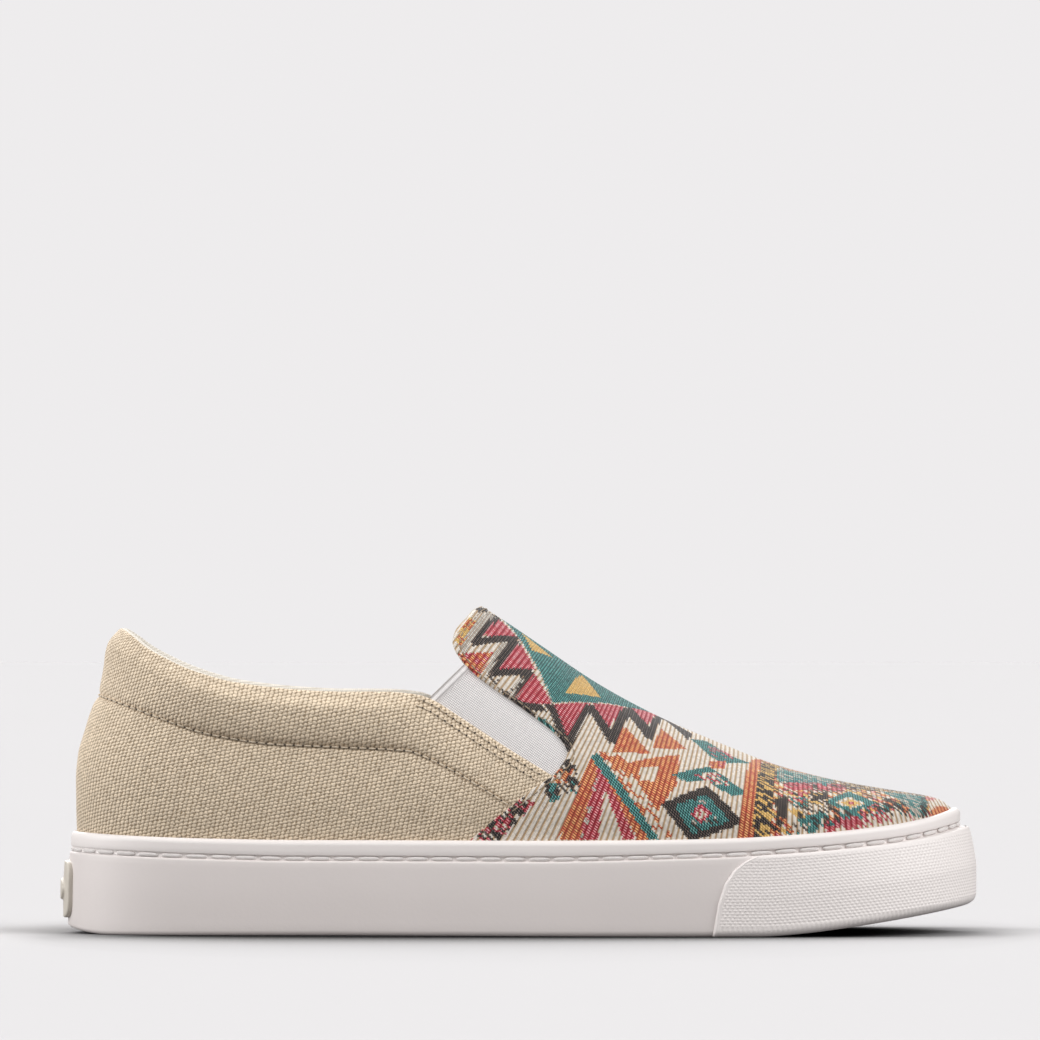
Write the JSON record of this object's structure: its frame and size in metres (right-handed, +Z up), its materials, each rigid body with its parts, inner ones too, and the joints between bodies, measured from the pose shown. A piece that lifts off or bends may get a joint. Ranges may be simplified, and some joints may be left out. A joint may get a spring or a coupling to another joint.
{
  "type": "slip-on shoe",
  "caption": "Right slip-on shoe: hollow canvas upper with padded collar and patterned vamp, elastic side gores, insole, and a cup sole with toe bumper and zigzag tread.",
  "frame": {"origin": "on the floor under the centre of the shoe's bounding box", "axes": "+X from heel to toe, +Y towards the inner side of a right foot, +Z up"},
  "size_m": [0.2984, 0.1088, 0.1069],
  "materials": {
    "sole_rubber": "satin moulded rubber, off-white",
    "canvas": "matt basket-weave canvas, tan",
    "tapestry": "ribbed patterned cloth, cream with red, orange, teal and black",
    "elastic": "fine ribbed elastic, white",
    "lining": "matt woven lining, off-white",
    "thread": "matt sewing thread, light tan",
    "footbed": "matt cloth over foam",
    "plate_rubber": "satin moulded rubber, grey-beige"
  },
  "bodies": {
    "root": {"cup_sole": "sole_rubber", "upper": "canvas", "gore_outer": "elastic", "gore_inner": "elastic", "insole": "footbed", "heel_plate": "plate_rubber"}
  },
  "joints": []
}
